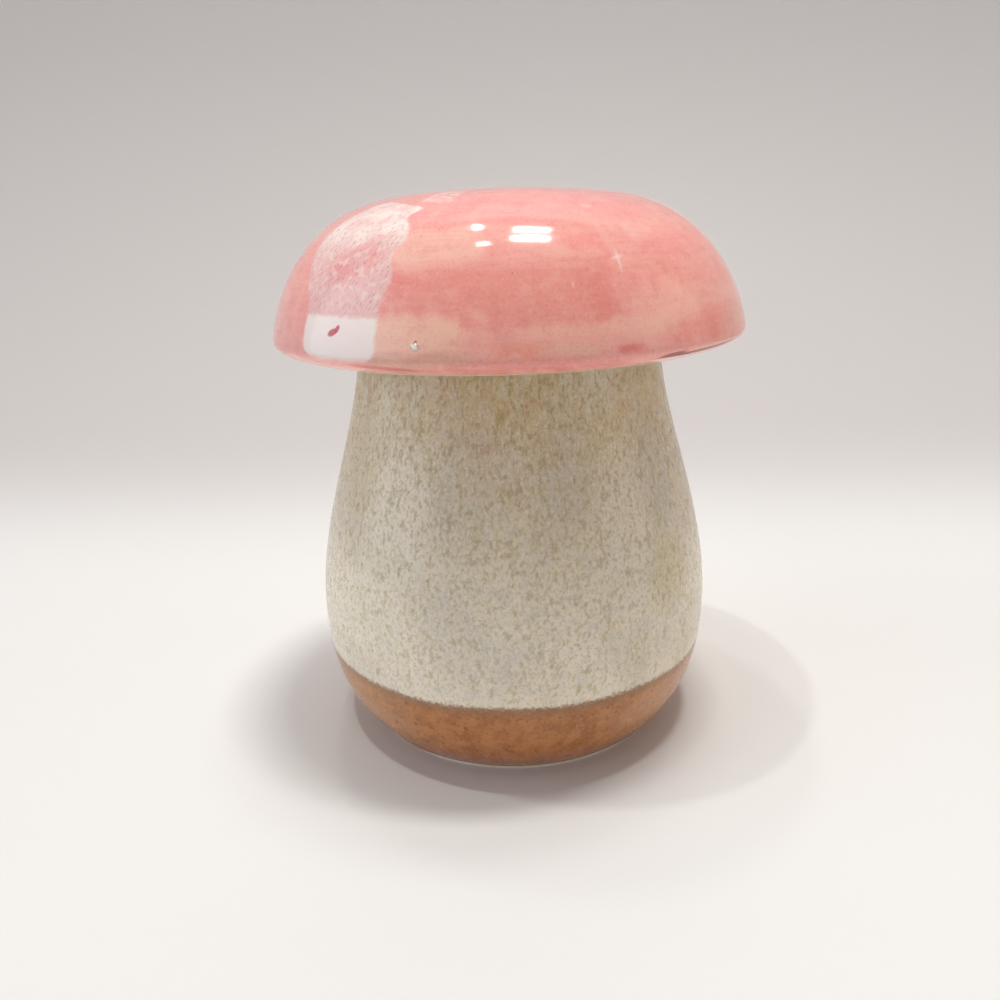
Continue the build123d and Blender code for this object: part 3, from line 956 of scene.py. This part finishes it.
# %% World
FILL_LEFT = 1.65
FILL_RIGHT = 0.9
FILL_FRONT = 0.01
FILL_ABOVE = 0.22
SEEN = 0.6
SIDE_STARTS, SIDE_FULL = 0.35, 0.9
ABOVE_STARTS, ABOVE_FULL = 0.5, 0.9
world = bpy.data.worlds.new("studio")
bpy.context.scene.world = world
world.use_nodes = True
tree = world.node_tree
background = tree.nodes['Background']
direction = place(tree, 'ShaderNodeTexCoord').outputs['Generated']
toward = place(tree, 'ShaderNodeSeparateXYZ', {0: direction}).outputs
from_left = step(tree, toward['X'], -SIDE_STARTS, -SIDE_FULL)
from_right = step(tree, toward['X'], SIDE_STARTS, SIDE_FULL)
from_above = step(tree, toward['Z'], ABOVE_STARTS, ABOVE_FULL)
fill = sum_of(tree, 'MULTIPLY_ADD', from_left, FILL_LEFT - FILL_FRONT, FILL_FRONT)
fill = sum_of(tree, 'MULTIPLY_ADD', from_right, FILL_RIGHT - FILL_FRONT, fill)
less = sum_of(tree, 'SUBTRACT', FILL_ABOVE, fill)
fill = sum_of(tree, 'MULTIPLY_ADD', from_above, less, fill)
path = place(tree, 'ShaderNodeLightPath').outputs
mirrored = sum_of(tree, 'MAXIMUM', path['Is Glossy Ray'], path['Is Transmission Ray'])
fill = sum_of(tree, 'MAXIMUM', fill, product(tree, mirrored, SEEN))
to_seen = sum_of(tree, 'SUBTRACT', SEEN, fill)
fill = sum_of(tree, 'MULTIPLY_ADD', path['Is Camera Ray'], to_seen, fill)
tint = lay(tree, from_left, paint(255, 249, 241), paint(230, 241, 255))
tree.links.new(tint, background.inputs['Color'])
tree.links.new(fill, background.inputs['Strength'])
print(f"world: {FILL_ABOVE} above, {FILL_LEFT} and {FILL_RIGHT} at the sides, {FILL_FRONT} in front")

# %% [markdown]
# A lamp is a row: its place across and back, its width and depth in metres, its watts, and whether the
# glaze mirrors it.

# %% Lamps
LAMPS = [
    (-0.22, 0.28, 0.06, 0.13, 1.6, True),
    (-0.21, -0.15, 0.11, 0.08, 0.8, True),
    (-0.34, -0.10, 0.05, 0.05, 3.6, False),
    (0.185, 0.16, 0.30, 0.16, 3.0, True),
    (0.185, -0.06, 0.30, 0.10, 10.5, True),
]
LAMP_HEIGHT = 1.6
LAMP_TINT = (1, 0.97, 0.92)
for x, y, wide, deep, watts, mirrored in LAMPS:
    lamp = bpy.data.lights.new("ceiling_lamp", 'AREA')
    lamp.shape = 'RECTANGLE'
    lamp.size = wide
    lamp.size_y = deep
    lamp.energy = watts
    lamp.color = LAMP_TINT
    hung = bpy.data.objects.new("ceiling_lamp", lamp)
    hung.location = (x, y, LAMP_HEIGHT)
    hung.visible_glossy = mirrored
    bpy.context.scene.collection.objects.link(hung)
print(len(LAMPS), "lamps hang", LAMP_HEIGHT, "m up")

# %% [markdown]
# The camera stands close, a little below the crown and looking down, as a phone held by hand would. Its
# place was worked out from the outline of the object in the picture.

# %% Camera
CAMERA_BACK = 220.89 * MM
CAMERA_UP = 130.81 * MM
PITCH = radians(18.079)
ROLL = radians(-1.411)
YAW = radians(-0.864)
FOCAL_SHARE = 0.83
SENSOR = 36
lens = bpy.data.cameras.new("camera")
lens.sensor_width = SENSOR
lens.lens = SENSOR * FOCAL_SHARE
lens.clip_start = 0.01
camera = bpy.data.objects.new("camera", lens)
ahead = Vector((sin(YAW) * cos(PITCH), cos(YAW) * cos(PITCH), -sin(PITCH)))
level = Vector((cos(YAW), -sin(YAW), 0))
upright = level.cross(ahead)
side = cos(ROLL) * level + sin(ROLL) * upright
top = cos(ROLL) * upright - sin(ROLL) * level
turn_to_view = Matrix((side, top, -ahead)).transposed().to_4x4()
camera.matrix_world = Matrix.Translation((0, -CAMERA_BACK, CAMERA_UP)) @ turn_to_view
bpy.context.scene.collection.objects.link(camera)
bpy.context.scene.camera = camera
bpy.context.scene.view_settings.view_transform = 'Standard'
print(f"camera {CAMERA_BACK / MM:.0f} mm in front, {CAMERA_UP / MM:.0f} mm up")
